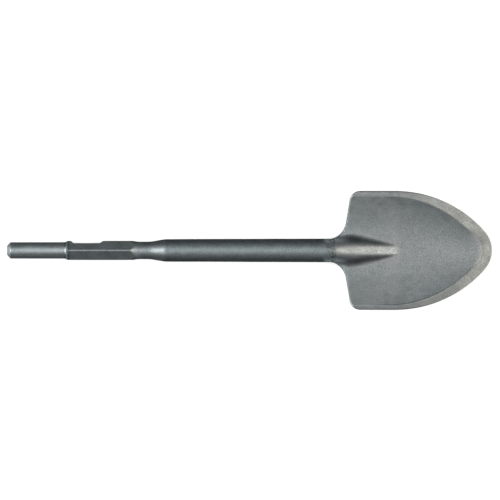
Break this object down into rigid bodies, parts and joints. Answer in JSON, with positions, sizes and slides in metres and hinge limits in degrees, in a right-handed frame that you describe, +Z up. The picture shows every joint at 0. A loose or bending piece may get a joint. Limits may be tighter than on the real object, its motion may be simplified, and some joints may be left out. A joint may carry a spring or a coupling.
{
  "type": "spade chisel",
  "caption": "One-piece forged spade chisel with a hexagonal shank, a retaining notch, a round shaft and a wide, shallow scooped blade with a rounded ground edge.",
  "frame": {"origin": "centre of the flat striking face, on the axis of the shank", "axes": "+X from the striking face along the shank to the blade's nose, +Y across the blade towards the side that the retaining notch is on, +Z up out of the scooped face; the tool lies with the underside of its shaft and the belly of its blade on the floor"},
  "size_m": [0.4812, 0.1182, 0.0236],
  "materials": {
    "forged_steel": "shot-blasted forged steel, satin grey, with a brighter ground bevel round the nose"
  },
  "bodies": {
    "root": {"spade_chisel": "forged_steel"}
  },
  "joints": []
}
